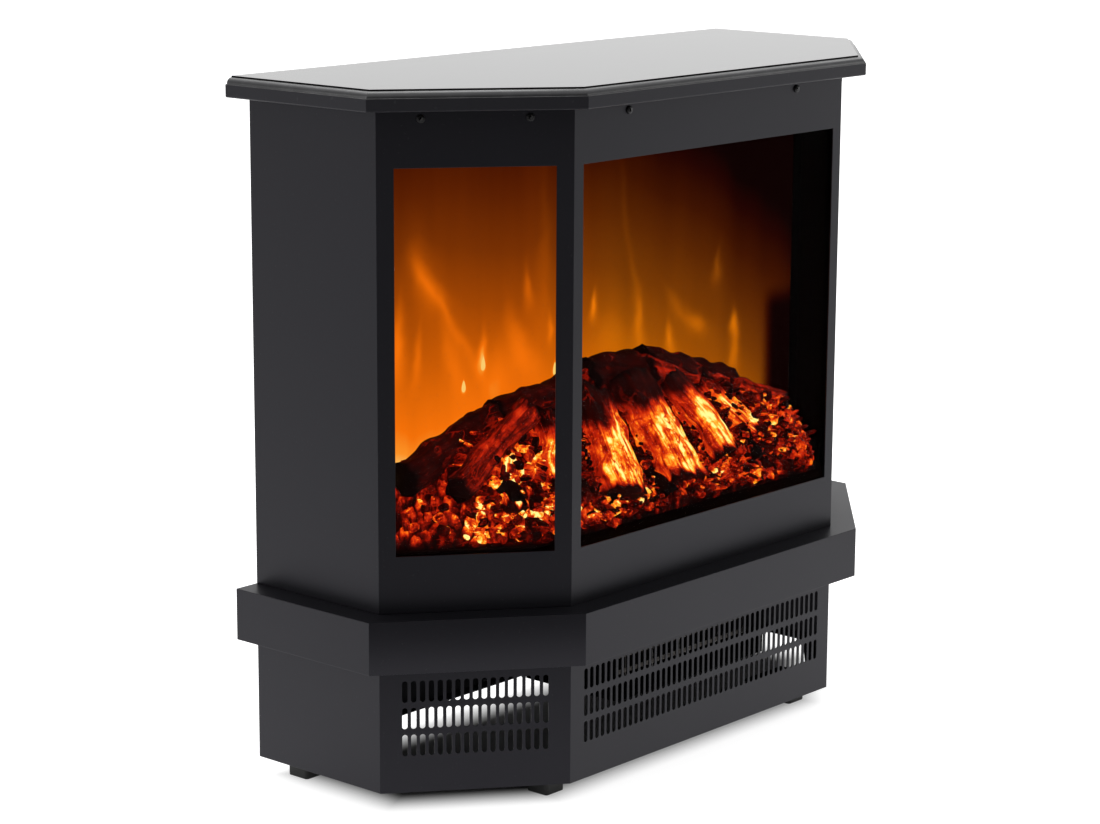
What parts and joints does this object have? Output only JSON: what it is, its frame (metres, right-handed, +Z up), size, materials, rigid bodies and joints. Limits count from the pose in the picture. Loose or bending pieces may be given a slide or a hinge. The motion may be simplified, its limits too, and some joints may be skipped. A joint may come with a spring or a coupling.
{
  "type": "electric fireplace stove",
  "caption": "Free-standing electric fireplace stove: three-sided glazed bay with a lit flame screen and log bed, slotted heater plinth, hearth ledge and routed top board.",
  "frame": {"origin": "middle of the object's footprint box, on the floor under the feet", "axes": "+X to the right as seen from the front, +Y to the back, +Z up"},
  "size_m": [0.7154, 0.2968, 0.653],
  "materials": {
    "casing_black": "satin charcoal-black powder coat",
    "board_black": "black lacquered fibreboard, glossy on top",
    "bay_glass": "clear toughened glass",
    "screen_glow": "translucent acrylic lit from behind",
    "ember_glow": "moulded resin logs and coals lit from below",
    "liner_black": "matt black heat-proof paint",
    "zinc_sheet": "zinc-plated sheet",
    "screw_black": "black-oxide screws",
    "foot_black": "moulded black plastic",
    "vane_bright": "bright reflecting vanes on a steel rod",
    "motor_steel": "plated steel",
    "nylon_white": "natural nylon",
    "lamp_board": "white lamp board",
    "wheel_grey": "pressed fan blades",
    "element_fins": "finned heater",
    "switch_black": "black moulded switch",
    "gland_black": "black moulded bush"
  },
  "bodies": {
    "stove": {"left_side_panel": "casing_black", "right_side_panel": "casing_black", "left_window_frame": "casing_black", "front_window_frame": "casing_black", "right_window_frame": "casing_black", "hearth_ledge": "casing_black", "plinth_left_grille": "casing_black", "plinth_front_grille": "casing_black", "plinth_right_grille": "casing_black", "plinth_left_side": "casing_black", "plinth_right_side": "casing_black", "back_panel": "casing_black", "plinth_back": "casing_black", "top_board": "board_black", "left_glass": "bay_glass", "front_glass": "bay_glass", "right_glass": "bay_glass", "flame_screen": "screen_glow", "ember_bed": "ember_glow", "ember_tray": "liner_black", "left_screen_channel": "liner_black", "right_screen_channel": "liner_black", "flame_mask": "liner_black", "foot_plates": "zinc_sheet", "top_brackets": "zinc_sheet", "glass_clips": "zinc_sheet", "rotor_motor_bracket": "zinc_sheet", "rotor_bearing_bracket": "zinc_sheet", "heater_housing": "zinc_sheet", "casing_screws": "screw_black", "back_screws": "screw_black", "foot_front_left": "foot_black", "foot_front_right": "foot_black", "foot_back_left": "foot_black", "foot_back_right": "foot_black", "rotor_motor": "motor_steel", "blower_motor": "motor_steel", "thermal_cutout": "motor_steel", "rotor_bush": "nylon_white", "blower_bush": "nylon_white", "ember_lamp_strip": "lamp_board", "flame_lamp_strip": "lamp_board", "heating_element": "element_fins", "power_switch_body": "switch_black", "low_heat_switch_body": "switch_black", "high_heat_switch_body": "switch_black", "cord_gland": "gland_black"},
    "flame_spindle": {"flame_rotor": "vane_bright"},
    "blower": {"blower_wheel": "wheel_grey"},
    "power_switch": {"power_rocker": "switch_black"},
    "low_heat_switch": {"low_heat_rocker": "switch_black"},
    "high_heat_switch": {"high_heat_rocker": "switch_black"}
  },
  "joints": [
    {"name": "flame_spin", "type": "hinge", "parent": "stove", "child": "flame_spindle", "pos_m": [0, 0.08375, 0.3002], "axis": [1, 0, 0], "continuous": true},
    {"name": "blower_spin", "type": "hinge", "parent": "stove", "child": "blower", "pos_m": [0, -0.04435, 0.108], "axis": [1, 0, 0], "continuous": true},
    {"name": "power_switch_rock", "type": "hinge", "parent": "stove", "child": "power_switch", "pos_m": [0.198, 0.14175, 0.556], "axis": [1, 0, 0], "range_deg": [0, 21.2]},
    {"name": "low_heat_switch_rock", "type": "hinge", "parent": "stove", "child": "low_heat_switch", "pos_m": [0.232, 0.14175, 0.556], "axis": [1, 0, 0], "range_deg": [0, 21.2]},
    {"name": "high_heat_switch_rock", "type": "hinge", "parent": "stove", "child": "high_heat_switch", "pos_m": [0.266, 0.14175, 0.556], "axis": [1, 0, 0], "range_deg": [0, 21.2]}
  ]
}
